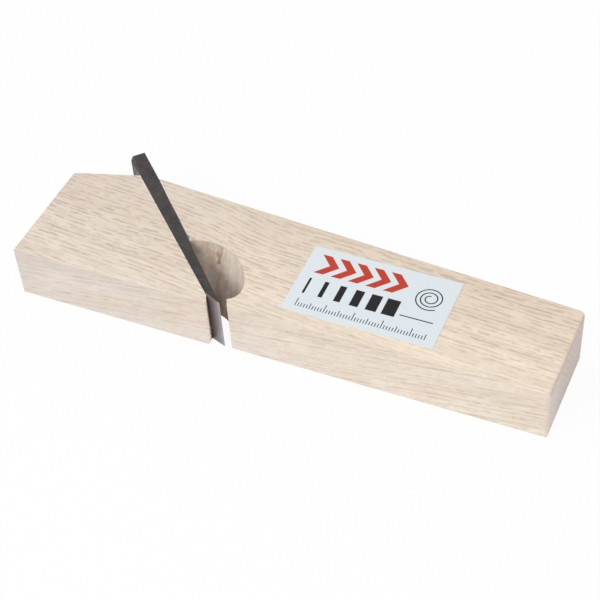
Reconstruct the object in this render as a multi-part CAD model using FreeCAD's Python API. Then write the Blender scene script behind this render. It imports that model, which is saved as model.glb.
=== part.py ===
import FreeCAD, Part
import math
import os

# Grooving plane, lying on its far side. X runs from the heel end to the toe end,
# Y from the sole to the back, Z up across the thickness to the open side.
# The origin is under the middle of the whole plane. Lengths are millimetres.

# Block
body_length = 192.4
body_thickness = 21.0
heel_height = 43.1
ridge_from_heel = 27.2
ridge_height = 50.9
toe_height = 38.8
toe_top_overhang = 0.6
sole_step = 1.05
heel_corner_radius = 1.5
toe_corner_radius = 2.5
toe_side_radius = 1.0
arris = 0.2

# Mouth, a slot right across the sole that leans back toward the heel
mouth_from_heel = 74.3
mouth_width = 7.1
mouth_lean = 64.5
heel_lip_height = 3.2
toe_lip_height = 2.8
lip_chip_run = 1.3
lip_chip_depth = 3.0

# Bed, and the tapered slot that wedges the shank of the iron
bed_angle = 43.6
slot_play = 0.08
slot_floor_play = 0.2

# Chip hollow, a leaning cone that opens wide on the open side
hollow_near_from_heel = 65.2
hollow_near_height = 5.6
hollow_near_radius = 19.0
hollow_far_from_heel = 68.9
hollow_far_height = 0.35
hollow_far_radius = 12.6
hollow_toe_limit = 83.1
hollow_corner_radius = 5.2

# Iron, one forged bar: a tapered shank, and a wing as wide as the groove
iron_length = 85.1
iron_edge_thickness = 2.6
iron_head_thickness = 6.0
iron_proud = 0.2
shank_width = 12.0
wing_height = 9.0
wing_corner_radius = 1.5
shoulder_radius = 2.5
bevel_angle = 24.5
edge_height = 1.15
head_side_radius = 0.8
head_end_radius = 0.9
head_facet_start = 71.0
head_facet_depth = 2.2
head_bed_facet = 1.4
head_face_facet = 0.45

# Hard steel, forge-welded on the face of the iron
steel_thickness = 0.7
steel_length = 26.0
face_hollow_from_edge = 9.6
face_hollow_width = 7.6
face_hollow_depth = 0.3
grinding_radius = 90.0
grinding_corner = 2.5

# Paper label on the open side
label_length = 53.0
label_height = 31.0
label_thickness = 0.15
label_from_heel = 98.3
label_from_sole = 6.3

# Every cutting shape runs this far past what it cuts
overrun = 12.0
# Two places closer than this are the same place
snap = 0.01
middle_share = 0.5

# The iron fills the groove's width, and its shank only part of it
iron_width = body_thickness + iron_proud
shank_side = iron_width - shank_width
slot_floor = shank_side - slot_floor_play

across = FreeCAD.Vector(0, 0, 1)


def prism(points, travel):
    wire = Part.makePolygon(points + [points[0]])
    return Part.Face(wire).extrude(travel)


def edges_through(solid, point, direction):
    found = []
    for edge in solid.Edges:
        ends = [vertex.Point - point for vertex in edge.Vertexes]
        if len(ends) > 1 and all(end.cross(direction).Length < snap for end in ends):
            found.append(edge)
    return found


def round_corner(solid, point, direction, radius):
    return solid.makeFillet(radius, edges_through(solid, point, direction))


def on_lean(foot, height):
    # A point of a mouth wall, at a height above the wall's foot
    back = height / math.tan(math.radians(mouth_lean))
    return foot + FreeCAD.Vector(-back, height, 0)


# Fixed points and directions that the pieces share
heel_foot = FreeCAD.Vector(mouth_from_heel, 0, 0)
toe_foot = FreeCAD.Vector(mouth_from_heel + mouth_width, sole_step, 0)
heel_lip = on_lean(heel_foot, heel_lip_height)
toe_lip = on_lean(toe_foot, toe_lip_height)
up_bed = FreeCAD.Vector(-math.cos(math.radians(bed_angle)), math.sin(math.radians(bed_angle)), 0)
off_bed = up_bed.cross(across)


def bed_placement():
    # Local X stands off the bed and local Y runs up it, from beside the cutting edge
    rise = heel_lip.y - edge_height + iron_edge_thickness * off_bed.y
    foot = heel_lip - up_bed * (rise / up_bed.y)
    turn = FreeCAD.Rotation(off_bed, up_bed, across, "XYZ")
    return FreeCAD.Placement(foot, turn)


def face_at(up):
    # How far the iron's face stands off the bed, at a length up from the cutting edge
    taper = (iron_head_thickness - iron_edge_thickness) / iron_length
    return iron_edge_thickness + taper * up


def block_blank():
    step = heel_foot.x + mouth_width * middle_share
    heel_top = FreeCAD.Vector(0, heel_height, 0)
    toe_top = FreeCAD.Vector(body_length, toe_height, 0)
    toe_bottom = FreeCAD.Vector(body_length - toe_top_overhang, sole_step, 0)
    outline = [
        FreeCAD.Vector(0, 0, 0),
        FreeCAD.Vector(step, 0, 0),
        FreeCAD.Vector(step, sole_step, 0),
        toe_bottom,
        toe_top,
        FreeCAD.Vector(ridge_from_heel, ridge_height, 0),
        heel_top,
    ]
    blank = prism(outline, across * body_thickness)
    blank = round_corner(blank, heel_top, across, heel_corner_radius)
    blank = round_corner(blank, toe_top, across, toe_corner_radius)
    return ease_sides(blank).common(toe_end_form(toe_bottom, toe_top))


def ease_sides(blank):
    # The edges of both sides are eased, all round but for the step inside the mouth
    sides = [face for face in blank.Faces if face.BoundBox.ZLength < snap]
    edges = [edge for face in sides for edge in face.Edges if edge.Length > sole_step + snap]
    return blank.makeChamfer(arris, edges)


def toe_end_form(toe_bottom, toe_top):
    # The block seen square to the sole, with the toe end sanded round at both sides
    up_toe = (toe_top - toe_bottom).normalize()
    low = toe_bottom - up_toe * overrun
    wide = across * body_thickness
    length = FreeCAD.Vector(body_length + overrun, 0, 0)
    form = prism([low, low + wide, low + wide - length, low - length], up_toe * (ridge_height + overrun + overrun))
    form = round_corner(form, low, up_toe, toe_side_radius)
    return round_corner(form, low + wide, up_toe, toe_side_radius)


def mouth_cut():
    outline = [
        on_lean(heel_foot, -overrun),
        heel_lip,
        toe_lip,
        on_lean(toe_foot, -overrun),
    ]
    return prism(outline, across * body_thickness)


def lip_chip_cut():
    # A sliver lost from the far corner of the heel lip
    outline = [
        heel_foot - FreeCAD.Vector(lip_chip_run, overrun, 0),
        heel_foot + FreeCAD.Vector(mouth_width * middle_share, -overrun, 0),
        heel_foot + FreeCAD.Vector(0, -overrun, lip_chip_depth),
    ]
    return prism(outline, FreeCAD.Vector(0, overrun + heel_lip_height, 0))


def hollow_cone():
    near = FreeCAD.Vector(hollow_near_from_heel, hollow_near_height, body_thickness)
    far = FreeCAD.Vector(hollow_far_from_heel, hollow_far_height, 0)
    axis = near - far
    flare = (hollow_near_radius - hollow_far_radius) / axis.Length * overrun
    run = FreeCAD.Vector(axis).normalize() * overrun
    low_radius = hollow_far_radius - flare
    high_radius = hollow_near_radius + flare
    return Part.makeCone(low_radius, high_radius, axis.Length + overrun + overrun, far - run, axis)


def hollow_limits():
    # The bed bounds the hollow behind, and a rounded corner closes it above the toe lip
    centre_x = hollow_toe_limit - hollow_corner_radius
    drop = math.sqrt(hollow_corner_radius**2 - (toe_lip.x - centre_x)**2)
    centre = FreeCAD.Vector(centre_x, toe_lip.y + drop, 0)
    corner_end = FreeCAD.Vector(hollow_toe_limit, centre.y, 0)
    half_way = (toe_lip + corner_end) * middle_share - centre
    corner = centre + half_way.normalize() * hollow_corner_radius
    high = heel_lip + up_bed * iron_length
    outline = [
        corner_end,
        FreeCAD.Vector(hollow_toe_limit, high.y, 0),
        high,
        heel_lip,
        FreeCAD.Vector(toe_foot.x - mouth_width * middle_share, toe_foot.y, 0),
        toe_lip,
    ]
    sides = Part.makePolygon(outline).Edges
    arc = Part.Arc(toe_lip, corner, corner_end).toShape()
    return Part.Face(Part.Wire(sides + [arc])).extrude(across * body_thickness)


def iron_slot_cut():
    outline = [
        FreeCAD.Vector(0, 0, slot_floor),
        FreeCAD.Vector(face_at(0) + slot_play, 0, slot_floor),
        FreeCAD.Vector(face_at(iron_length) + slot_play, iron_length, slot_floor),
        FreeCAD.Vector(0, iron_length, slot_floor),
    ]
    slot = prism(outline, across * (body_thickness - slot_floor + overrun))
    slot.Placement = bed_placement()
    return slot


def make_block():
    hollow = hollow_cone().common(hollow_limits())
    return block_blank().cut([mouth_cut(), lip_chip_cut(), hollow, iron_slot_cut()])


def iron_side_form():
    # The bar seen from the open side: bevel, taper and rounded head
    bevel_run = iron_edge_thickness / math.tan(math.radians(bevel_angle))
    head_bed = FreeCAD.Vector(0, iron_length, 0)
    head_face = FreeCAD.Vector(iron_head_thickness, iron_length, 0)
    outline = [
        FreeCAD.Vector(iron_edge_thickness, 0, 0),
        head_face,
        head_bed,
        FreeCAD.Vector(0, bevel_run, 0),
    ]
    form = prism(outline, across * iron_width)
    form = round_corner(form, head_bed, across, head_end_radius)
    return round_corner(form, head_face, across, head_end_radius)


def iron_front_form():
    # The bar seen square to its face: narrow shank, and the wing across the groove
    through = FreeCAD.Vector(1, 0, 0)
    head_near = FreeCAD.Vector(0, iron_length, iron_width)
    head_far = FreeCAD.Vector(0, iron_length, shank_side)
    shoulder = FreeCAD.Vector(0, wing_height, shank_side)
    wing_tip = FreeCAD.Vector(0, wing_height, 0)
    outline = [
        FreeCAD.Vector(0, 0, 0),
        FreeCAD.Vector(0, 0, iron_width),
        head_near,
        head_far,
        shoulder,
        wing_tip,
    ]
    form = prism(outline, through * (iron_head_thickness + overrun))
    form = round_corner(form, head_near, through, head_side_radius)
    form = round_corner(form, head_far, through, head_side_radius)
    form = round_corner(form, shoulder, through, shoulder_radius)
    return round_corner(form, wing_tip, through, wing_corner_radius)


def head_facet(corner_start, corner_end, inward):
    # A ground facet that starts at a point of a long edge and widens up to the head
    stretch = 1 + overrun / (iron_length - head_facet_start)
    run = (corner_end - corner_start) * stretch
    end = corner_start + run
    wide = end + inward * stretch
    deep = end - across * (head_facet_depth * stretch)
    outside = end + across * overrun - FreeCAD.Vector(inward).normalize() * overrun
    base = Part.makePolygon([wide, deep, outside, wide])
    return Part.makeLoft([Part.Vertex(corner_start), base], True, True)


def ground_head(bar):
    start_face = FreeCAD.Vector(face_at(head_facet_start), head_facet_start, iron_width)
    end_face = FreeCAD.Vector(iron_head_thickness, iron_length, iron_width)
    start_bed = FreeCAD.Vector(0, head_facet_start, iron_width)
    end_bed = FreeCAD.Vector(0, iron_length, iron_width)
    bed_facet = head_facet(start_bed, end_bed, FreeCAD.Vector(head_bed_facet, 0, 0))
    face_facet = head_facet(start_face, end_face, FreeCAD.Vector(-head_face_facet, 0, 0))
    return bar.cut([bed_facet, face_facet])


def steel_zone():
    low_face = face_at(-overrun)
    high_face = face_at(steel_length)
    outline = [
        FreeCAD.Vector(low_face - steel_thickness, -overrun, 0),
        FreeCAD.Vector(low_face + overrun, -overrun, 0),
        FreeCAD.Vector(high_face + overrun, steel_length, 0),
        FreeCAD.Vector(high_face - steel_thickness, steel_length, 0),
    ]
    return prism(outline, across * iron_width)


def grinding_wheel():
    # The wheel that hollows the face behind the edge, so that little of it has to be honed
    side = shank_side + (shank_width - face_hollow_width) * middle_share
    reach = face_at(face_hollow_from_edge) - face_hollow_depth + grinding_radius
    centre = FreeCAD.Vector(reach, face_hollow_from_edge, side)
    wheel = Part.makeCylinder(grinding_radius, face_hollow_width, centre)
    rims = [edge for edge in wheel.Edges if edge.BoundBox.ZLength < snap]
    return wheel.makeFillet(grinding_corner, rims)


def make_iron_pieces():
    bar = ground_head(iron_side_form().common(iron_front_form())).cut(grinding_wheel())
    zone = steel_zone()
    iron = bar.cut(zone)
    steel = bar.common(zone)
    iron.Placement = bed_placement()
    steel.Placement = bed_placement()
    return iron, steel


def make_label():
    corner = FreeCAD.Vector(label_from_heel, label_from_sole, body_thickness)
    return Part.makeBox(label_length, label_height, label_thickness, corner)


def solid_of(shape):
    return shape.Solids[0]


iron, edge_steel = make_iron_pieces()
pieces = {
    "block": make_block(),
    "iron": iron,
    "edge_steel": edge_steel,
    "label": make_label(),
}
whole = Part.makeCompound(list(pieces.values())).optimalBoundingBox(False)
to_origin = FreeCAD.Vector(-whole.Center.x, -whole.Center.y, -whole.ZMin)

os.makedirs("parts", exist_ok=True)
for name, shape in pieces.items():
    shape.translate(to_origin)
    solid_of(shape).exportStep("parts/" + name + ".step")
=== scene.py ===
import bpy
import math
from mathutils import Matrix, Vector


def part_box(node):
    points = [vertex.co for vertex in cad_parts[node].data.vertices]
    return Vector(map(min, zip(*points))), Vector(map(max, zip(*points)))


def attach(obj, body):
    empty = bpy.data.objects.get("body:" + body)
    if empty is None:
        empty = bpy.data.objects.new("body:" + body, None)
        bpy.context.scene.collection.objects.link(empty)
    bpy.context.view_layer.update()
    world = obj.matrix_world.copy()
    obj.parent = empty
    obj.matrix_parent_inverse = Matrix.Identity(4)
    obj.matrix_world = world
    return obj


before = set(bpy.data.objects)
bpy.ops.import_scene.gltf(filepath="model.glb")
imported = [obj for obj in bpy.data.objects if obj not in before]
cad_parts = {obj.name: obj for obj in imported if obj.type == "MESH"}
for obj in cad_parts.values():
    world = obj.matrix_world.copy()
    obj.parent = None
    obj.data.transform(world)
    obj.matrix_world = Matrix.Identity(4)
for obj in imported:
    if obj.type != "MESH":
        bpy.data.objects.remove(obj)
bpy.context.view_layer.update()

# Block
# One piece of pale, straight-grained, oak-like hardwood, planed and left unfinished.
# The mouth and the iron's slot are sawn and pared, and the chip hollow is bored across the grain.

# Places on the block are millimetres: x from the heel end, y from the sole, z from the far side.
# A pair of places says where a tone starts to show and where it is full.
MM = 0.001
BLOCK_LOW, BLOCK_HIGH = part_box("block")
HEEL_X, SOLE_Y = BLOCK_LOW.xy
OPEN_SIDE = BLOCK_HIGH.z / MM
TOWARD_TOE = 10.0, 170.0
MOUTH_MIDDLE = 76.0


class Shade:
    """A number that varies over a surface. Sums and products of shades are shades too."""

    def __init__(self, finish, socket):
        self.finish = finish
        self.socket = socket

    def __add__(self, other):
        return self.finish.number("ADD", self, other)

    def __sub__(self, other):
        return self.finish.number("SUBTRACT", self, other)

    def __mul__(self, other):
        return self.finish.number("MULTIPLY", self, other)

    def __truediv__(self, other):
        return self.finish.number("DIVIDE", self, other)

    def __gt__(self, other):
        return self.finish.number("GREATER_THAN", self, other)

    def __lt__(self, other):
        return self.finish.number("LESS_THAN", self, other)

    def __abs__(self):
        return self.finish.number("ABSOLUTE", self)

    def larger(self, other):
        return self.finish.number("MAXIMUM", self, other)

    def smaller(self, other):
        return self.finish.number("MINIMUM", self, other)

    def floor(self):
        return self.finish.number("FLOOR", self)

    def fraction(self):
        return self.finish.number("FRACT", self)

    def root(self):
        return self.finish.number("SQRT", self)

    def ramp(self, none, full):
        """0 at none, 1 at full and a smooth run between. Full may be the smaller of the two."""
        sockets = {"Value": self, "From Min": none, "From Max": full}
        return Shade(self.finish, self.finish.make("ShaderNodeMapRange", sockets,
                                                   interpolation_type="SMOOTHSTEP")[0])

    def around(self, middle, none, full):
        """1 within full of the middle, and 0 further than none from it."""
        return abs(self - middle).ramp(none, full)

    def within(self, low, high):
        return (self > low) * (self < high)


class Finish:
    """A node material, built up from what the surface shows."""

    # A Mix node's sockets: one value, the other value, and the result
    MIX_NUMBERS = 2, 3, 0
    MIX_COLORS = 6, 7, 2

    def __init__(self, name):
        self.material = bpy.data.materials.new(name)
        self.material.use_nodes = True
        self.tree = self.material.node_tree
        self.tree.nodes.clear()
        place = self.tree.nodes.new("ShaderNodeTexCoord")
        from_heel = self.vector("SUBTRACT", place.outputs["Object"], (HEEL_X, SOLE_Y, 0))
        self.at = self.vector("MULTIPLY", from_heel, (1 / MM, 1 / MM, 1 / MM))
        self.x, self.y, self.z = self.split(self.at)
        self.nx, self.ny, self.nz = self.split(place.outputs["Normal"])

    def feed(self, socket, value):
        if isinstance(value, Shade):
            value = value.socket
        if isinstance(value, bpy.types.NodeSocket):
            self.tree.links.new(value, socket)
        elif isinstance(value, tuple) and socket.type == "RGBA":
            socket.default_value = (*value, 1.0)
        else:
            socket.default_value = value

    def make(self, kind, sockets, **settings):
        """The outputs of a new node. Sockets says what goes into each input, by its name or number."""
        made = self.tree.nodes.new(kind)
        for name, value in settings.items():
            setattr(made, name, value)
        for socket, value in sockets.items():
            self.feed(made.inputs[socket], value)
        return made.outputs

    def number(self, operation, *values):
        return Shade(self, self.make("ShaderNodeMath", dict(enumerate(values)), operation=operation)[0])

    def vector(self, operation, *values):
        return self.make("ShaderNodeVectorMath", dict(enumerate(values)), operation=operation)["Vector"]

    def split(self, vector):
        return [Shade(self, part) for part in self.make("ShaderNodeSeparateXYZ", {"Vector": vector})]

    def join(self, x, y, z):
        return self.make("ShaderNodeCombineXYZ", {"X": x, "Y": y, "Z": z})[0]

    def distance(self, point):
        made = self.make("ShaderNodeVectorMath", {0: self.at, 1: point}, operation="DISTANCE")
        return Shade(self, made["Value"])

    def cloud(self, per_mm, detail=2.0, rough=0.5, at=None):
        """Soft noise. Per_mm says how fine it is, in one number or one along each axis."""
        fine = per_mm if isinstance(per_mm, tuple) else (per_mm, per_mm, per_mm)
        place = self.vector("MULTIPLY", self.at if at is None else at, fine)
        sockets = {"Vector": place, "Scale": 1.0, "Detail": detail, "Roughness": rough}
        return Shade(self, self.make("ShaderNodeTexNoise", sockets)["Fac"])

    def ragged(self, size, per_mm, detail, rough=0.5):
        """How far a torn or rubbed edge strays, by half of size to either side at most."""
        return (self.cloud(per_mm, detail, rough) - 0.5) * size

    def chance(self, value):
        """A number by chance, the same one wherever the value is the same."""
        made = self.make("ShaderNodeTexWhiteNoise", {"W": value}, noise_dimensions="1D")
        return Shade(self, made["Value"])

    def blend(self, under, over, share):
        """One number where the share is 0 and the other where it is 1."""
        first, second, result = self.MIX_NUMBERS
        made = self.make("ShaderNodeMix", {"Factor": share, first: under, second: over})
        return Shade(self, made[result])

    def lay(self, under, over, share):
        """A colour laid over another, as thickly as the share says."""
        first, second, result = self.MIX_COLORS
        return self.make("ShaderNodeMix", {"Factor": share, first: under, second: over},
                         data_type="RGBA")[result]

    def relief(self, height, depth_mm):
        """Depth_mm is how far a height of 1 stands up."""
        sockets = {"Height": height, "Distance": depth_mm * MM, "Strength": 1.0}
        return self.make("ShaderNodeBump", sockets)[0]

    def surface(self, color, rough, relief=None, metal=0.0, gloss=0.5):
        """The finished material."""
        sockets = {"Base Color": color, "Roughness": rough, "Metallic": metal, "Specular IOR Level": gloss}
        if relief is not None:
            sockets["Normal"] = relief
        coat = self.make("ShaderNodeBsdfPrincipled", sockets)
        self.make("ShaderNodeOutputMaterial", {"Surface": coat["BSDF"]})
        return self.material


def dress(node, material):
    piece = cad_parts[node]
    piece.data.materials.clear()
    piece.data.materials.append(material)


# The pores: short dark lines along the grain
PORE_BROWN = (0.42, 0.32, 0.255)
SIDE_PORES_FADE_Y = 4.0, 14.0
TOP_PORES_X, TOP_PORES_Y = (90.0, 160.0), (33.0, 38.0)
LONG_LINE_X, LONG_LINE_Y = 5.0, 18.85
LONG_LINE_SLOPE, LONG_LINE_BEND = 0.03, 0.0097
LONG_LINE_THICK = 0.42, 0.05
LONG_LINE_MIDDLE, LONG_LINE_REACH = 16.5, (9.5, 3.0)


def pores(wood, over, pitch, per_mm, gap, thick):
    """Soft short lines, in rows a pitch apart. Chance sets each row's place, breaks it and weights it."""
    row = over / pitch
    which = row.floor()
    chance = wood.chance(which)
    middle = wood.chance(which + 0.5) * 0.34 + 0.33
    off = abs(row.fraction() - middle)
    # Each row reads its breaks from a far part of the noise, so that no two rows are alike
    place = wood.join(wood.x * per_mm + chance * 97.0, which * 3.7, chance * 11.0)
    run = wood.cloud(1.0, rough=0.6, at=place).ramp(gap, gap + 0.16)
    return run * off.ramp(thick / pitch, 0.0) * (chance * 0.6 + 0.55)


def side_pores(wood, up, toeward):
    coarse = pores(wood, up, pitch=1.85, per_mm=0.14, gap=0.39, thick=0.74)
    faint = pores(wood, up + 0.55, pitch=1.22, per_mm=0.23, gap=0.43, thick=0.56)
    # They fade toward the sole, and along the top they grow toward the toe
    along_top = wood.x.ramp(*TOP_PORES_X) * 0.38 - 0.14
    strong = wood.y.ramp(*SIDE_PORES_FADE_Y) * 0.33 + toeward * -0.10 + 0.64
    strong = wood.y.ramp(*TOP_PORES_Y) * along_top + strong
    # One long line swings down across the others near the heel
    from_start = wood.x - LONG_LINE_X
    drop = from_start * (from_start * LONG_LINE_BEND + LONG_LINE_SLOPE)
    line = (drop + wood.y).around(LONG_LINE_Y, *LONG_LINE_THICK)
    line = line * wood.x.around(LONG_LINE_MIDDLE, *LONG_LINE_REACH)
    return ((faint * 0.32 + coarse * 0.50) * strong).larger(line * 0.45)


def sole_pores(wood, over, grain, toeward):
    short = pores(wood, over, pitch=1.6, per_mm=0.14, gap=0.40, thick=0.86)
    long = pores(wood, over + 0.6, pitch=2.4, per_mm=0.10, gap=0.38, thick=1.10)
    chatter = wood.cloud((0.55, 1.1, 1.1), rough=0.6, at=grain).ramp(0.45, 0.70)
    return (short * 0.21 + long * 0.22 + chatter * 0.12) * (toeward * 0.32 + 0.78)


# The sides: one colour at the sole and one at the top, for each end
SIDE_AT_HEEL = (0.86, 0.755, 0.65), (0.80, 0.695, 0.59)
SIDE_AT_TOE = (0.985, 0.85, 0.695), (0.82, 0.695, 0.55)
SIDE_Y = 0.0, 46.0
SIDE_DULL = (0.755, 0.645, 0.545)
DULL_TOP_X, DULL_TOP_Y = (15.0, 5.0), (31.0, 35.0)
DULL_FOOT_X, DULL_FOOT_Y = (24.0, 6.0), (6.5, 3.5)
# A painted highlight along the side's edge by the sole
SIDE_EDGE_HIGHLIGHT = (0.98, 0.88, 0.74)
HIGHLIGHT_BAND_NEAR, HIGHLIGHT_BAND_FAR = (0.1, 0.8), (2.0, 1.0)
HIGHLIGHT_BAND_FADE_X = 20.0, 76.0
TOE_SOLE_RISE = 1.05
# The iron's bed and face, as lines on the open side
BED_FOOT_X, BED_FOOT_Y = 72.77, 3.2
BED_ANGLE = math.radians(43.6)
IRON_THICKNESS, IRON_TAPER = 2.91, 0.0401
BED_NEARBY, FACE_NEARBY = 1.0, -1.0
# Painted highlights along the slot's cut edges
SLOT_EDGE_HIGHLIGHT = (0.99, 0.93, 0.86)
HIGHLIGHT_OFF_BED, HIGHLIGHT_OFF_FACE, HIGHLIGHT_FACE_Y = (-0.65, -0.25), (0.60, 0.20), (25.0, 27.0)


def iron_lines(wood):
    """How far a place lies from the iron's bed and from its face, counted toward the toe."""
    from_foot, above_foot = wood.x - BED_FOOT_X, wood.y - BED_FOOT_Y
    off_bed = from_foot * math.sin(BED_ANGLE) + above_foot * math.cos(BED_ANGLE)
    up_bed = above_foot * math.sin(BED_ANGLE) - from_foot * math.cos(BED_ANGLE)
    return off_bed, off_bed - up_bed * IRON_TAPER - IRON_THICKNESS


def side_tone(wood, toeward, off_bed, off_face, on_open_side):
    x, y = wood.x, wood.y
    high = y.ramp(*SIDE_Y)
    side = wood.lay(wood.lay(*SIDE_AT_HEEL, high), wood.lay(*SIDE_AT_TOE, high), toeward)
    # It is duller at its heel corners
    top_corner = x.ramp(*DULL_TOP_X) * y.ramp(*DULL_TOP_Y)
    foot_corner = x.ramp(*DULL_FOOT_X) * y.ramp(*DULL_FOOT_Y)
    side = wood.lay(side, SIDE_DULL, top_corner.larger(foot_corner) * 0.9)
    # A painted highlight band runs along the side's edge beside the sole, and fades toward the toe
    from_sole = y - (x > MOUTH_MIDDLE) * TOE_SOLE_RISE
    band = from_sole.ramp(*HIGHLIGHT_BAND_NEAR) * from_sole.ramp(*HIGHLIGHT_BAND_FAR)
    side = wood.lay(side, SIDE_EDGE_HIGHLIGHT, band * (x.ramp(*HIGHLIGHT_BAND_FADE_X) * -0.30 + 0.33))
    # Painted highlights run along the cut edges of the slot on the open side
    beside_bed = off_bed.ramp(*HIGHLIGHT_OFF_BED) * (off_bed < BED_NEARBY)
    beside_face = off_face.ramp(*HIGHLIGHT_OFF_FACE) * (off_face > FACE_NEARBY) * y.ramp(*HIGHLIGHT_FACE_Y)
    return wood.lay(side, SLOT_EDGE_HIGHLIGHT, beside_bed.larger(beside_face) * on_open_side * 0.8)


# The sole
SOLE_AT_HEEL, SOLE_AT_TOE = (0.775, 0.705, 0.66), (0.885, 0.78, 0.67)
SOLE_HIGHEST = 3.0
SOLE_DULL = (0.69, 0.625, 0.58)
SOLE_DULL_X = 15.0, 3.0
SOLE_GREY = (0.78, 0.74, 0.71)
SOLE_GREY_X, SOLE_GREY_Z = (50.0, 20.0), (8.0, 2.0)
SOLE_PALE = (0.985, 0.915, 0.80)
SOLE_PALE_X, SOLE_PALE_Z = (145.0, 172.0), (7.0, 1.0)
SOLE_TAN = (0.57, 0.485, 0.405)
SOLE_TAN_X, SOLE_TAN_Z = (130.0, 20.0), (11.0, 20.0)
SOLE_LIP_DARK = (0.42, 0.335, 0.28)
SOLE_LIP_DARK_X = 73.75, 74.4


def sole_tone(wood, toeward):
    x, z = wood.x, wood.z
    sole = wood.lay(SOLE_AT_HEEL, SOLE_AT_TOE, toeward)
    # It is duller at the heel end, and toward the far side greyer there, and paler at the toe
    sole = wood.lay(sole, SOLE_DULL, x.ramp(*SOLE_DULL_X) * 0.6)
    sole = wood.lay(sole, SOLE_GREY, z.ramp(*SOLE_GREY_Z) * x.ramp(*SOLE_GREY_X) * 0.5)
    sole = wood.lay(sole, SOLE_PALE, z.ramp(*SOLE_PALE_Z) * x.ramp(*SOLE_PALE_X))
    # It darkens toward the open side
    on_sole = wood.y < SOLE_HIGHEST
    sole = wood.lay(sole, SOLE_TAN, z.ramp(*SOLE_TAN_Z) * x.ramp(*SOLE_TAN_X) * on_sole * 0.30)
    # It darkens along the heel lip of the mouth
    beside_lip = (wood.cloud(1.0) * 0.5 + x).ramp(*SOLE_LIP_DARK_X) * (x < MOUTH_MIDDLE)
    return wood.lay(sole, SOLE_LIP_DARK, beside_lip * on_sole * 0.5)


# Wear and painted shade: a painted shadow line in the gap beside the iron's face, painted shade at the
# worn corner where the slot meets the hollow, and a painted shadow in its dent, and the toe end's corner,
# sanded through, browner and painted darker as the shade of its round
GAP_SHADOW_BLACK = (0.085, 0.063, 0.050)
GAP_SHADOW_OFF_FACE, GAP_SHADOW_FOOT_Y, GAP_SHADOW_TOP_Y = (0.40, 0.18), (22.0, 27.0), (42.0, 35.0)
CORNER_SHADE_BROWN = (0.42, 0.355, 0.305)
WORN_CORNER, CORNER_SHADE_REACH = (56.4, 25.6, OPEN_SIDE), (2.3, 0.0)
DENT_SHADOW_BROWN = (0.18, 0.145, 0.122)
DENT_Y, DENT_REACH, DENT_DEEP, DENT_EDGE = 26.6, (1.3, 0.3), 0.90, (0.20, -0.20)
SANDED_BROWN_AND_SHADE = (0.66, 0.52, 0.43)
TOE_FOOT_X, TOE_LEAN = 191.8, 0.016
SANDED_REACH, SANDED_RAGGED = (1.6, 0.1), 1.2


def wear_and_painted_shade(wood, color, off_face, on_open_side):
    x, y = wood.x, wood.y
    beside_face = (off_face > FACE_NEARBY) * on_open_side
    lower_half = y.ramp(*GAP_SHADOW_FOOT_Y) * y.ramp(*GAP_SHADOW_TOP_Y)
    # A painted shadow line on the wood beside the iron's face, where the slot's gap lies in shade
    color = wood.lay(color, GAP_SHADOW_BLACK, off_face.ramp(*GAP_SHADOW_OFF_FACE) * lower_half * beside_face * 0.85)
    # Painted shade where the side's worn corner rounds down into the hollow
    worn_and_painted_light = wood.distance(WORN_CORNER).ramp(*CORNER_SHADE_REACH) * on_open_side
    color = wood.lay(color, CORNER_SHADE_BROWN, worn_and_painted_light * 0.80)
    # A painted shadow in the dent beside the iron, at the hollow's rim
    dent_shadow = (off_face - y.around(DENT_Y, *DENT_REACH) * DENT_DEEP).ramp(*DENT_EDGE)
    color = wood.lay(color, DENT_SHADOW_BROWN, dent_shadow * beside_face * 0.80)
    # The toe end's sanded corner: browner wood, and painted darker as the shade of its round
    from_end = y * TOE_LEAN + TOE_FOOT_X - x - wood.ragged(SANDED_RAGGED, 0.5, 3.0)
    return wood.lay(color, SANDED_BROWN_AND_SHADE, from_end.ramp(*SANDED_REACH) * 0.55)


# The ends, sawn across the fibres: greyer, with growth rings and their pores
PITH_Y, PITH_Z = -38.0, -31.0
RING_WIDTH = 2.1
END_LATE, END_EARLY = (0.715, 0.632, 0.577), (0.685, 0.602, 0.547)
END_PORE = (0.52, 0.44, 0.39)
END_PALE = (0.81, 0.725, 0.67)
END_PALE_Y = 18.0, 3.0
END_TAN = (0.74, 0.57, 0.46)
END_TAN_Z = 18.0, 20.6
# The eased corners, by how squarely they face along the block
END_CORNER = (0.56, 0.42, 0.33)
EASED_FROM, EASED_UP_TO = (0.10, 0.5), (0.99, 0.8)


def end_grain(wood, ripple):
    out_y, out_z = wood.y - PITH_Y, wood.z - PITH_Z
    from_pith = (out_y * out_y + out_z * out_z).root()
    early = (from_pith / RING_WIDTH + ripple * 0.8).fraction().ramp(0.75, 0.05)
    holes = wood.cloud(3.2, rough=0.6).ramp(0.47, 0.66) * (early * 0.55 + 0.40)
    grey = wood.lay(wood.lay(END_LATE, END_EARLY, early), END_PORE, holes)
    grey = wood.lay(grey, END_PALE, wood.y.ramp(*END_PALE_Y) * 0.5)
    grey = wood.lay(grey, END_TAN, wood.z.ramp(*END_TAN_Z) * 0.35)
    facing = abs(wood.nx)
    return wood.lay(grey, END_CORNER, facing.ramp(*EASED_FROM) * facing.ramp(*EASED_UP_TO) * 0.35)


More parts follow.
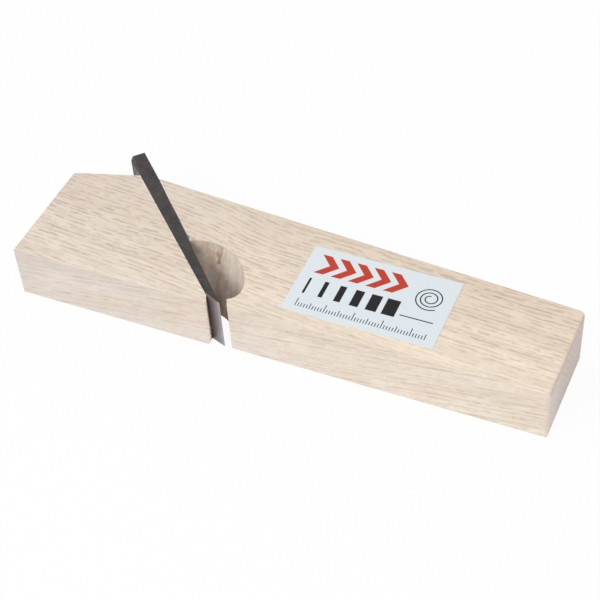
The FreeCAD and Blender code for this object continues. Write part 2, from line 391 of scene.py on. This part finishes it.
# The throat, bored at a lean and pared: browner the deeper in and the further down, mostly as painted
# shade
THROAT_X, THROAT_Y, THROAT_Z = (46.0, 84.0), (1.2, 30.0), (0.04, 20.86)
BORE_SLANT, BORE_ALONG, BORE_WARP = -0.58, 0.15, 5.0
CUT_PALE, CUT_BRUISED_AND_SHADED = (0.865, 0.757, 0.668), (0.365, 0.228, 0.137)
LEAN_Z, LEAN = 19.5, 0.35
BROWN_HEELWARD, BROWN_STEP, BROWN_Y = (72.5, 59.0), (66.6, 64.4), (16.0, 6.0)
TOE_WALL_X, TOE_WALL_Z = (75.5, 77.5), (16.5, 12.5)
ROOF_FROM_X, ROOF_UP_TO_X, ROOF_Z = (67.4, 68.2), (73.0, 71.5), (19.8, 18.3)
RIM_BROWN_X, RIM_PALE_X, RIM_PALE_REACH, RIM_Z = (58.3, 57.4), 59.3, (1.7, 0.6), (18.6, 19.8)
DEEP_HEELWARD, DEEP_Z = (63.5, 61.0), (18.5, 16.0)
CUT_ASHEN = (0.51, 0.435, 0.39)
ASHEN_X, ASHEN_Z = (62.0, 57.0), (17.0, 19.5)
# A tongue is torn out of the roof, and a crack runs beside it
TORN_BROWN, TORN_PALE = (0.36, 0.26, 0.16), (0.93, 0.81, 0.70)
TORN_RAGGED = 2.4
TONGUE_X, TONGUE_FOOT_Z, TONGUE_FOOT_WIDE, TONGUE_SPREAD = 67.2, 15.0, 0.6, 0.16
TONGUE_EDGE, TONGUE_Z = (1.15, 0.55), (14.8, 15.6)
TONGUE_TOEWARD, TONGUE_ROOT_Z, TONGUE_BROWN_Z = (67.5, 68.2), (17.6, 15.6), (20.0, 17.4)
CRACK_X, CRACK_TOP_Z, CRACK_LEAN, CRACK_THICK, CRACK_Z = 65.5, 20.2, 0.28, (0.55, 0.05), (14.5, 16.0)


def bore_score(wood):
    """The lines that the boring left, warped a little."""
    warp = wood.cloud(0.25) * BORE_WARP
    along_bore = wood.join(wood.x + warp, wood.z * BORE_SLANT + wood.y + warp, wood.z * BORE_ALONG)
    return wood.cloud(0.55, 3.0, 0.6, at=along_bore)


def throat_tone(wood, score, speck):
    x, y, z = wood.x, wood.y, wood.z
    lean = (z - LEAN_Z) * LEAN + x
    # Painted shade: darker by the iron, further down and deeper in; part of this brown is wood bruised by
    # the bit
    bruise_and_shade = lean.ramp(*BROWN_HEELWARD) * 0.30 + y.ramp(*BROWN_Y) * 0.34 + lean.ramp(*BROWN_STEP) * 0.18
    # Painted shadow on the mouth's toe wall, darker deeper down
    bruise_and_shade = bruise_and_shade + x.ramp(*TOE_WALL_X) * (z.ramp(*TOE_WALL_Z) * 0.22 + 0.04)
    bruise_and_shade = bruise_and_shade + x.ramp(*ROOF_FROM_X) * x.ramp(*ROOF_UP_TO_X) * z.ramp(*ROOF_Z) * 0.12
    # Painted light just under the rim, with painted shade where the rim meets the iron
    heel_rim = x.ramp(*RIM_BROWN_X) * 0.16 - x.around(RIM_PALE_X, *RIM_PALE_REACH) * 0.20
    bruise_and_shade = bruise_and_shade + heel_rim * z.ramp(*RIM_Z)
    # Painted light deep by the heel, which offsets the iron's shadow there
    bruise_and_shade = bruise_and_shade - lean.ramp(*DEEP_HEELWARD) * z.ramp(*DEEP_Z) * 0.30
    bruise_and_shade = bruise_and_shade + score.ramp(0.62, 0.38) * 0.19 + speck.ramp(0.65, 0.40) * 0.12
    cut = wood.lay(CUT_PALE, CUT_BRUISED_AND_SHADED, bruise_and_shade.smaller(1.0))
    cut = wood.lay(cut, CUT_ASHEN, x.ramp(*ASHEN_X) * z.ramp(*ASHEN_Z) * 0.5)
    slip = wood.ragged(TORN_RAGGED, 0.6, 4.0, 0.6) + x
    half_width = (z - TONGUE_FOOT_Z) * TONGUE_SPREAD + TONGUE_FOOT_WIDE
    tongue = (abs(slip - TONGUE_X) / half_width).ramp(*TONGUE_EDGE) * z.ramp(*TONGUE_Z)
    root = slip.ramp(*TONGUE_TOEWARD).larger(z.ramp(*TONGUE_ROOT_Z))
    brown = z.ramp(*TONGUE_BROWN_Z) * 0.46 + 0.36 + root * 0.28
    cut = wood.lay(cut, TORN_BROWN, tongue * brown)
    crack = ((z - CRACK_TOP_Z) * CRACK_LEAN + slip).around(CRACK_X, *CRACK_THICK) * z.ramp(*CRACK_Z)
    return wood.lay(cut, TORN_PALE, crack * speck.ramp(0.30, 0.90))


# The grain: it sways slowly, ripples in each line, and dips toward the toe
SWAY_PER_MM, SWAY_SIZE = (0.014, 0.03, 0.03), 5.0
RIPPLE_PER_MM, RIPPLE_SIZE = (0.14, 0.55, 0.55), 1.7
DIP_X, DIP_Y = (40.0, 96.0), (8.0, 38.0)
DIP_AT_SOLE, DIP_MORE_ABOVE = 2.5, 4.0
GRAIN_RISE, GRAIN_SLANT = 0.08, -0.13
FIBRE_BROWN, FIBRE_PER_MM = (0.66, 0.545, 0.44), (0.10, 2.4, 2.4)
BAND_BROWN, BAND_PER_MM = (0.74, 0.62, 0.51), (0.006, 0.12, 0.10)
# How squarely a surface has to face to the side or to an end to take that side's or end's look
FACES_SIDEWAYS, FACES_ENDWAYS = (0.5, 0.8), (0.35, 0.80)


def oak():
    wood = Finish("block_oak")
    x, y, z = wood.x, wood.y, wood.z
    toeward = x.ramp(*TOWARD_TOE)
    ripple = wood.cloud(RIPPLE_PER_MM)
    wander = wood.cloud(SWAY_PER_MM, detail=1.0) * SWAY_SIZE + ripple * RIPPLE_SIZE
    dip = x.ramp(*DIP_X) * (y.ramp(*DIP_Y) * DIP_MORE_ABOVE + DIP_AT_SOLE)
    up = x * GRAIN_RISE + y + dip + wander
    over = x * GRAIN_SLANT + z + wander * 0.7
    grain = wood.join(x, up, over)
    fibre = wood.cloud(FIBRE_PER_MM, 3.0, 0.65, at=grain)
    band = wood.cloud(BAND_PER_MM, at=grain)
    # Planed sides and sole
    on_open_side = wood.nz.ramp(*FACES_SIDEWAYS)
    on_side = abs(wood.nz).ramp(*FACES_SIDEWAYS)
    on_end = abs(wood.nx).ramp(*FACES_ENDWAYS)
    off_bed, off_face = iron_lines(wood)
    side = side_tone(wood, toeward, off_bed, off_face, on_open_side)
    color = wood.lay(sole_tone(wood, toeward), side, on_side)
    color = wood.lay(color, BAND_BROWN, band.ramp(0.40, 0.65) * 0.5)
    color = wood.lay(color, FIBRE_BROWN, fibre.ramp(0.40, 0.75) * 0.30)
    marks = wood.blend(sole_pores(wood, over, grain, toeward), side_pores(wood, up, toeward), on_side)
    marks = marks * on_end.ramp(1.0, 0.0)
    color = wear_and_painted_shade(wood, wood.lay(color, PORE_BROWN, marks), off_face, on_open_side)
    # Sawn ends and the bored throat
    color = wood.lay(color, end_grain(wood, ripple), on_end)
    inside = x.within(*THROAT_X) * y.within(*THROAT_Y) * z.within(*THROAT_Z)
    score, speck = bore_score(wood), wood.cloud(0.7, 4.0, 0.65)
    color = wood.lay(color, throat_tone(wood, score, speck), inside)
    height = wood.blend(fibre * -0.3 - marks, score * 3.0 + speck * 3.0, inside)
    return wood.surface(color, 0.78, wood.relief(height, 0.05), gloss=0.3)


block_finish = oak()
dress("block", block_finish)

# Torn fibres
# Slivers of the block's own wood, that the knife tore up at the hollow's rim and the mouth's lip.
# Each tapers from its root to a curled tip.

SLIVER_DARK, SLIVER_PALE = (0.80, 0.70, 0.61), (0.97, 0.91, 0.85)
# How far along a sliver each cross-section lies, and its share of the full width
SECTIONS = (0.0, 1.0), (0.5, 0.8), (1.0, 0.2)
FLATNESS = 0.4
SPLIT_PLANE = Vector((0.2, 0.3, 1))

# Root, tip and half width
RIM_SLIVERS = [
    ((56.45, 25.25, 20.90), (55.35, 26.45, 21.04), 0.30),
    ((56.05, 25.65, 20.92), (55.35, 26.10, 21.12), 0.16),
    ((59.60, 26.15, 20.90), (60.60, 26.25, 21.06), 0.06),
    ((66.90, 25.95, 20.90), (66.50, 25.30, 20.72), 0.10),
    ((68.10, 25.70, 20.90), (68.90, 25.60, 21.06), 0.07),
]
LIP_SLIVERS = [
    ((74.00, 0.36, 9.30), (74.80, 0.46, 7.90), 0.28),
    ((74.00, 0.36, 7.40), (74.75, 0.46, 6.10), 0.26),
    ((74.05, 0.36, 5.20), (74.60, 0.42, 4.30), 0.20),
    ((73.95, 0.36, 11.90), (74.50, 0.44, 10.90), 0.18),
    ((73.95, 0.36, 14.30), (74.40, 0.45, 13.70), 0.10),
]


def shaped(name, corners, faces, material):
    """A new piece, from corners in metres."""
    mesh = bpy.data.meshes.new(name)
    mesh.from_pydata(corners, [], faces)
    mesh.materials.append(material)
    piece = bpy.data.objects.new(name, mesh)
    bpy.context.scene.collection.objects.link(piece)
    return piece


def torn_fibres(name, slivers, material):
    corners, faces = [], []
    for root, tip, half_width in slivers:
        root, tip = Vector(root), Vector(tip)
        run = tip - root
        across = run.cross(SPLIT_PLANE).normalized() * half_width
        up = across.cross(run).normalized() * half_width * FLATNESS
        first = len(corners)
        for along, share in SECTIONS:
            middle = root + run * along + up * along * along
            for out in (across, up, -across, -up):
                corner = middle + out * share
                corners.append((corner.x * MM + HEEL_X, corner.y * MM + SOLE_Y, corner.z * MM))
        rings = [[first + 4 * level + i for i in range(4)] for level in range(len(SECTIONS))]
        for near, far in zip(rings, rings[1:]):
            faces += [[near[i], near[(i + 1) % 4], far[(i + 1) % 4], far[i]] for i in range(4)]
        faces += [rings[0][::-1], rings[-1]]
    fluff = shaped(name, corners, faces, material)
    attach(fluff, "block")


def torn_fibre_oak():
    fluff = Finish("torn_fibre_oak")
    return fluff.surface(fluff.lay(SLIVER_DARK, SLIVER_PALE, fluff.cloud(1.5)), 0.85, gloss=0.2)


torn_fibres("torn_fibres_hollow", RIM_SLIVERS, torn_fibre_oak())
torn_fibres("torn_fibres_lip", LIP_SLIVERS, block_finish)

# Iron
# One forged bar of soft iron, which wedges in the block's tapered slot.
# It is left black from the fire, but for the ground bevel.

SCALE_DARK, SCALE_LIGHT = (0.030, 0.026, 0.0245), (0.062, 0.055, 0.051)
SCALE_BLUISH, SCALE_BROWNISH = (0.043, 0.043, 0.051), (0.057, 0.042, 0.038)
SCALE_GRIT, SCALE_PIT = (0.120, 0.110, 0.103), (0.018, 0.016, 0.016)
RUST_BROWN = (0.085, 0.050, 0.041)
RUST_SPOT, RUST_REACH, RUST_RAGGED = (22.6, 56.2, 19.0), (2.6, 0.2), 3.0
# The bed side and the bevel, by how far they face down
FACES_BED, FACES_SOLE = (-0.60, -0.70), (-0.80, -0.88)
RUBBED_GREY = (0.150, 0.138, 0.132)
RUBBED_Y = 57.0, 50.0
BARE_CORNER_AND_HIGHLIGHT = (0.40, 0.37, 0.345)
BEVEL_FOOT_X, BEVEL_FOOT_Y = 73.13, 3.08
BEVEL_INWARD_X, BEVEL_INWARD_Y = 0.33, 0.94
BARE_REACH, BARE_SQUARELY = (0.45, 0.05), (0.7, 0.9)
BEVEL_DARK, BEVEL_LIGHT = (0.30, 0.254, 0.250), (0.48, 0.432, 0.428)
BEVEL_SHADED = (0.17, 0.165, 0.165)
BEVEL_SHADED_Z = 6.0, 1.0
BEVEL_GROUND_X, BEVEL_RAGGED = (74.0, 74.6), 1.2


def forge_scale():
    scale = Finish("iron_scale")
    x, y, z = scale.x, scale.y, scale.z
    mottle = scale.cloud(0.35, 4.0, 0.6)
    grit = scale.cloud(1.6, 4.0, 0.65)
    color = scale.lay(SCALE_DARK, SCALE_LIGHT, mottle.ramp(0.35, 0.65))
    cast = scale.cloud(0.30)
    color = scale.lay(color, SCALE_BLUISH, cast.ramp(0.50, 0.36) * 0.6)
    color = scale.lay(color, SCALE_BROWNISH, cast.ramp(0.50, 0.64) * 0.6)
    color = scale.lay(color, SCALE_GRIT, grit.ramp(0.55, 0.72) * 0.8)
    color = scale.lay(color, SCALE_PIT, grit.ramp(0.45, 0.30) * 0.6)
    # A touch of rust near the head
    from_rust = scale.distance(RUST_SPOT) - mottle * RUST_RAGGED
    color = scale.lay(color, RUST_BROWN, from_rust.ramp(*RUST_REACH) * 0.6)
    # The side that lies on the bed is rubbed paler toward the block
    color = scale.lay(color, RUBBED_GREY, scale.ny.ramp(*FACES_BED) * y.ramp(*RUBBED_Y) * 0.75)
    # The scale is worn through along the bevel's corner on the side, and a painted highlight runs along
    # that corner
    inward = (x - BEVEL_FOOT_X) * BEVEL_INWARD_X + (y - BEVEL_FOOT_Y) * BEVEL_INWARD_Y
    worn_and_painted_light = inward.ramp(*BARE_REACH) * abs(scale.nz).ramp(*BARE_SQUARELY)
    color = scale.lay(color, BARE_CORNER_AND_HIGHLIGHT, worn_and_painted_light * mottle.ramp(0.35, 0.6))
    # The bevel is ground to bare metal and painted darker toward the far side as shade; a strip along the
    # bed is left black as a painted shadow from the mouth's heel wall
    bright = scale.lay(BEVEL_DARK, BEVEL_LIGHT, scale.cloud((5.0, 5.0, 0.5), 3.0, 0.6))
    bright = scale.lay(bright, BEVEL_SHADED, z.ramp(*BEVEL_SHADED_Z) * 0.5)
    past_shadow_strip = (scale.cloud(0.8, 3.0) * BEVEL_RAGGED + x).ramp(*BEVEL_GROUND_X)
    ground = scale.ny.ramp(*FACES_SOLE) * past_shadow_strip
    color = scale.lay(color, bright, ground)
    return scale.surface(color, 0.5, scale.relief(grit, 0.08), metal=ground * 0.35 + 0.4)


dress("iron", forge_scale())

# Hard steel
# The cutting layer: a thin plate of hard steel, forge-welded on the face of the iron
# and ground bright, but for its edge on the side, which keeps its scale.

STEEL_DARK, STEEL_LIGHT = (0.40, 0.405, 0.41), (0.52, 0.525, 0.53)
STEEL_SHADED = (0.16, 0.16, 0.162)
STEEL_SHADED_Z = 9.0, 2.0
STEEL_SCALE = (0.07, 0.066, 0.064)
STEEL_FACES_SIDEWAYS = 0.7, 0.8


def ground_steel():
    steel = Finish("edge_steel_ground")
    lines = steel.cloud((6.0, 6.0, 0.6), 3.0, 0.6)
    color = steel.lay(STEEL_DARK, STEEL_LIGHT, lines)
    color = steel.lay(color, STEEL_SHADED, steel.z.ramp(*STEEL_SHADED_Z) * 0.42)
    color = steel.lay(color, STEEL_SCALE, abs(steel.nz).ramp(*STEEL_FACES_SIDEWAYS))
    return steel.surface(color, 0.35, steel.relief(lines, 0.01), metal=0.9)


dress("edge_steel", ground_steel())

# Label
# Pale blue paper, glued on the open side, with a print in black and red ink:
# chevrons, bars that grow in width, a rolled shaving and a scale of millimetres.

PAPER_DARK, PAPER_LIGHT = (0.725, 0.795, 0.84), (0.765, 0.83, 0.865)
BLACK_INK, BLACK_INK_WORN = (0.014, 0.013, 0.014), (0.035, 0.033, 0.035)
RED_INK, RED_INK_WORN = (0.55, 0.050, 0.026), (0.60, 0.085, 0.050)
# The print's places and sizes are millimetres from the label's corner at the heel and the sole
LABEL_LOW, LABEL_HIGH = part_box("label")
INK_FOOT, INK_FACE = 0.002, 0.015
PRINT_LEFT = 4.0
TICK_FOOT, TICK_WIDTH, TICK_COUNT = 2.6, 0.28, 46
TICK_TEN, TICK_FIVE, TICK_ONE = 3.6, 2.6, 1.7
BAR_FOOT, BAR_HEIGHT, BAR_PITCH, BAR_COUNT = 8.8, 7.4, 5.6, 6
BAR_WIDTH, BAR_GROWTH = 0.8, 0.75
CHEVRON_FOOT, CHEVRON_PITCH, CHEVRON_COUNT = 19.0, 6.2, 5
CHEVRON_WIDTH, CHEVRON_HEIGHT, CHEVRON_THICK = 7.6, 9.0, 3.4
LINE_THICK = 0.42
CURL_MIDDLE = 45.0, 20.5
CURL_TURNS, CURL_START, CURL_GAP, QUADS_A_TURN = 2.6, 1.0, 1.55, 28
STRIP_LEFT, STRIP_FOOT, STRIP_LENGTH = 38.0, 10.2, 11.5


def label_paper():
    paper = Finish("label_paper")
    fleck = paper.cloud(1.2, 3.0, 0.6)
    return paper.surface(paper.lay(PAPER_DARK, PAPER_LIGHT, fleck), 0.5, paper.relief(fleck, 0.01))


dress("label", label_paper())


def label_ink(name, color, worn_and_painted_light):
    ink = Finish(name)
    thin = ink.cloud(2.5, 3.0, 0.6).ramp(0.45, 0.8)
    return ink.surface(ink.lay(color, worn_and_painted_light, thin), 0.6, gloss=0.18)


def printed(name, shapes, material):
    """Flat shapes of ink, each a list of its corners."""
    corners, faces = [], []
    for shape in shapes:
        first, count = len(corners), len(shape)
        for lift in (INK_FOOT, INK_FACE):
            corners += [(LABEL_LOW.x + u * MM, LABEL_LOW.y + v * MM, LABEL_HIGH.z + lift * MM)
                        for u, v in shape]
        foot = [first + i for i in range(count)]
        face = [first + count + i for i in range(count)]
        faces += [face, foot[::-1]]
        faces += [[foot[i - 1], foot[i], face[i], face[i - 1]] for i in range(count)]
    ink = shaped(name, corners, faces, material)
    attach(ink, "block")


def oblong(u, v, wide, high):
    return [(u, v), (u + wide, v), (u + wide, v + high), (u, v + high)]


def tick(i):
    high = TICK_ONE
    if i % 5 == 0:
        high = TICK_FIVE
    if i % 10 == 0:
        high = TICK_TEN
    return oblong(PRINT_LEFT + i, TICK_FOOT, TICK_WIDTH, high)


def bar(i):
    return oblong(PRINT_LEFT + BAR_PITCH * i, BAR_FOOT, BAR_WIDTH + BAR_GROWTH * i, BAR_HEIGHT)


def chevron(i):
    left, foot, top = PRINT_LEFT + CHEVRON_PITCH * i, CHEVRON_FOOT, CHEVRON_FOOT + CHEVRON_HEIGHT
    right, middle = left + CHEVRON_WIDTH, foot + CHEVRON_HEIGHT / 2
    return [(left, foot), (left + CHEVRON_THICK, foot), (right, middle), (left + CHEVRON_THICK, top),
            (left, top), (right - CHEVRON_THICK, middle)]


def curl_point(turn, off):
    radius = CURL_START + CURL_GAP * turn + off
    angle = 2 * math.pi * turn
    return CURL_MIDDLE[0] - radius * math.sin(angle), CURL_MIDDLE[1] + radius * math.cos(angle)


def curl():
    """A shaving, rolled up: quads along a spiral."""
    count = int(CURL_TURNS * QUADS_A_TURN)
    turns = [CURL_TURNS * i / count for i in range(count + 1)]
    inner = [curl_point(turn, 0) for turn in turns]
    outer = [curl_point(turn, LINE_THICK) for turn in turns]
    return [[inner[i], outer[i], outer[i + 1], inner[i + 1]] for i in range(count)]


black_print = [tick(i) for i in range(TICK_COUNT)] + [bar(i) for i in range(BAR_COUNT)] + curl()
black_print.append(oblong(STRIP_LEFT, STRIP_FOOT, STRIP_LENGTH, LINE_THICK))
red_print = [chevron(i) for i in range(CHEVRON_COUNT)]
printed("label_scale", black_print, label_ink("label_ink_black", BLACK_INK, BLACK_INK_WORN))
printed("label_chevrons", red_print, label_ink("label_ink_red", RED_INK, RED_INK_WORN))

# Ground
# The pale table that the plane lies on. It is matt to the light that falls on the plane,
# and plain white to whoever looks at it.

GROUND_REACH = 3.0
GROUND_WHITE = (0.93, 0.93, 0.93, 1)
GROUND_SEEN_WHITE = 0.93


def seen_white(tree, strength):
    """The strength to the rays that look at a surface, and 0 to those that light the plane."""
    sight = tree.nodes.new("ShaderNodeLightPath")
    share = sight.outputs["Is Camera Ray"]
    for ray in ("Is Glossy Ray", "Is Transmission Ray"):
        either = tree.nodes.new("ShaderNodeMath")
        either.operation = "MAXIMUM"
        tree.links.new(share, either.inputs[0])
        tree.links.new(sight.outputs[ray], either.inputs[1])
        share = either.outputs[0]
    part = tree.nodes.new("ShaderNodeMath")
    part.operation = "MULTIPLY"
    part.inputs[1].default_value = strength
    tree.links.new(share, part.inputs[0])
    return part.outputs[0]


def see_white(tree, lit, white, strength, out):
    """Shows the white shader in place of the lit one to the rays that look."""
    either = tree.nodes.new("ShaderNodeMixShader")
    tree.links.new(seen_white(tree, strength), either.inputs["Fac"])
    tree.links.new(lit.outputs[0], either.inputs[1])
    tree.links.new(white.outputs[0], either.inputs[2])
    tree.links.new(either.outputs[0], out.inputs["Surface"])


def ground():
    mesh = bpy.data.meshes.new("ground")
    far = GROUND_REACH
    mesh.from_pydata([(-far, -far, 0), (far, -far, 0), (far, far, 0), (-far, far, 0)], [], [(0, 1, 2, 3)])
    table = bpy.data.objects.new("ground", mesh)
    bpy.context.scene.collection.objects.link(table)
    white = bpy.data.materials.new("ground_white")
    white.use_nodes = True
    tree = white.node_tree
    matt = tree.nodes["Principled BSDF"]
    matt.inputs["Base Color"].default_value = GROUND_WHITE
    matt.inputs["Roughness"].default_value = 0.9
    matt.inputs["Specular IOR Level"].default_value = 0.0
    glow = tree.nodes.new("ShaderNodeEmission")
    see_white(tree, matt, glow, GROUND_SEEN_WHITE, tree.nodes["Material Output"])
    mesh.materials.append(white)


ground()

# Light
# A bright room, which is plain white where it is seen,
# and one broad lamp above the heel end.

PURE_WHITE = (1, 1, 1, 1)
ROOM_STRENGTH = 0.80
LAMP_PLACE = Vector((-0.50, -0.85, 0.88))
LAMP_SIZE = 0.5
LAMP_WATTS = 4.9

world = bpy.data.worlds.new("room")
world.use_nodes = True
room = world.node_tree
daylight = room.nodes["Background"]
daylight.inputs["Color"].default_value = PURE_WHITE
daylight.inputs["Strength"].default_value = ROOM_STRENGTH
white_wall = room.nodes.new("ShaderNodeBackground")
white_wall.inputs["Color"].default_value = PURE_WHITE
see_white(room, daylight, white_wall, 1.0, room.nodes["World Output"])
bpy.context.scene.world = world

light = bpy.data.lights.new("broad_lamp", "AREA")
light.shape = "DISK"
light.size = LAMP_SIZE
light.energy = LAMP_WATTS
lamp = bpy.data.objects.new("broad_lamp", light)
lamp.location = LAMP_PLACE
lamp.rotation_euler = (-LAMP_PLACE).to_track_quat("-Z", "Y").to_euler()
bpy.context.scene.collection.objects.link(lamp)

# Camera
# Where the photograph was taken from: above the toe end, looking back across the sole.
# Its place and its two directions were worked out from the block's corners in the photograph.

CAMERA_PLACE = Vector((0.15702, -0.32312, 0.36825))
CAMERA_RIGHT = Vector((0.918285, 0.392311, -0.053335)).normalized()
CAMERA_AHEAD = Vector((-0.309180, 0.626420, -0.715546)).normalized()
SENSOR_WIDTH, LENS = 36.0, 88.225
NEAREST_SEEN = 0.01

camera = bpy.data.objects.new("camera", bpy.data.cameras.new("camera"))
camera.data.sensor_width = SENSOR_WIDTH
camera.data.lens = LENS
camera.data.clip_start = NEAREST_SEEN
camera_top = CAMERA_RIGHT.cross(CAMERA_AHEAD).normalized()
turn = Matrix((CAMERA_RIGHT, camera_top, -CAMERA_AHEAD)).transposed()
camera.matrix_world = Matrix.Translation(CAMERA_PLACE) @ turn.to_4x4()
bpy.context.scene.collection.objects.link(camera)
bpy.context.scene.camera = camera
bpy.context.scene.view_settings.view_transform = "Standard"
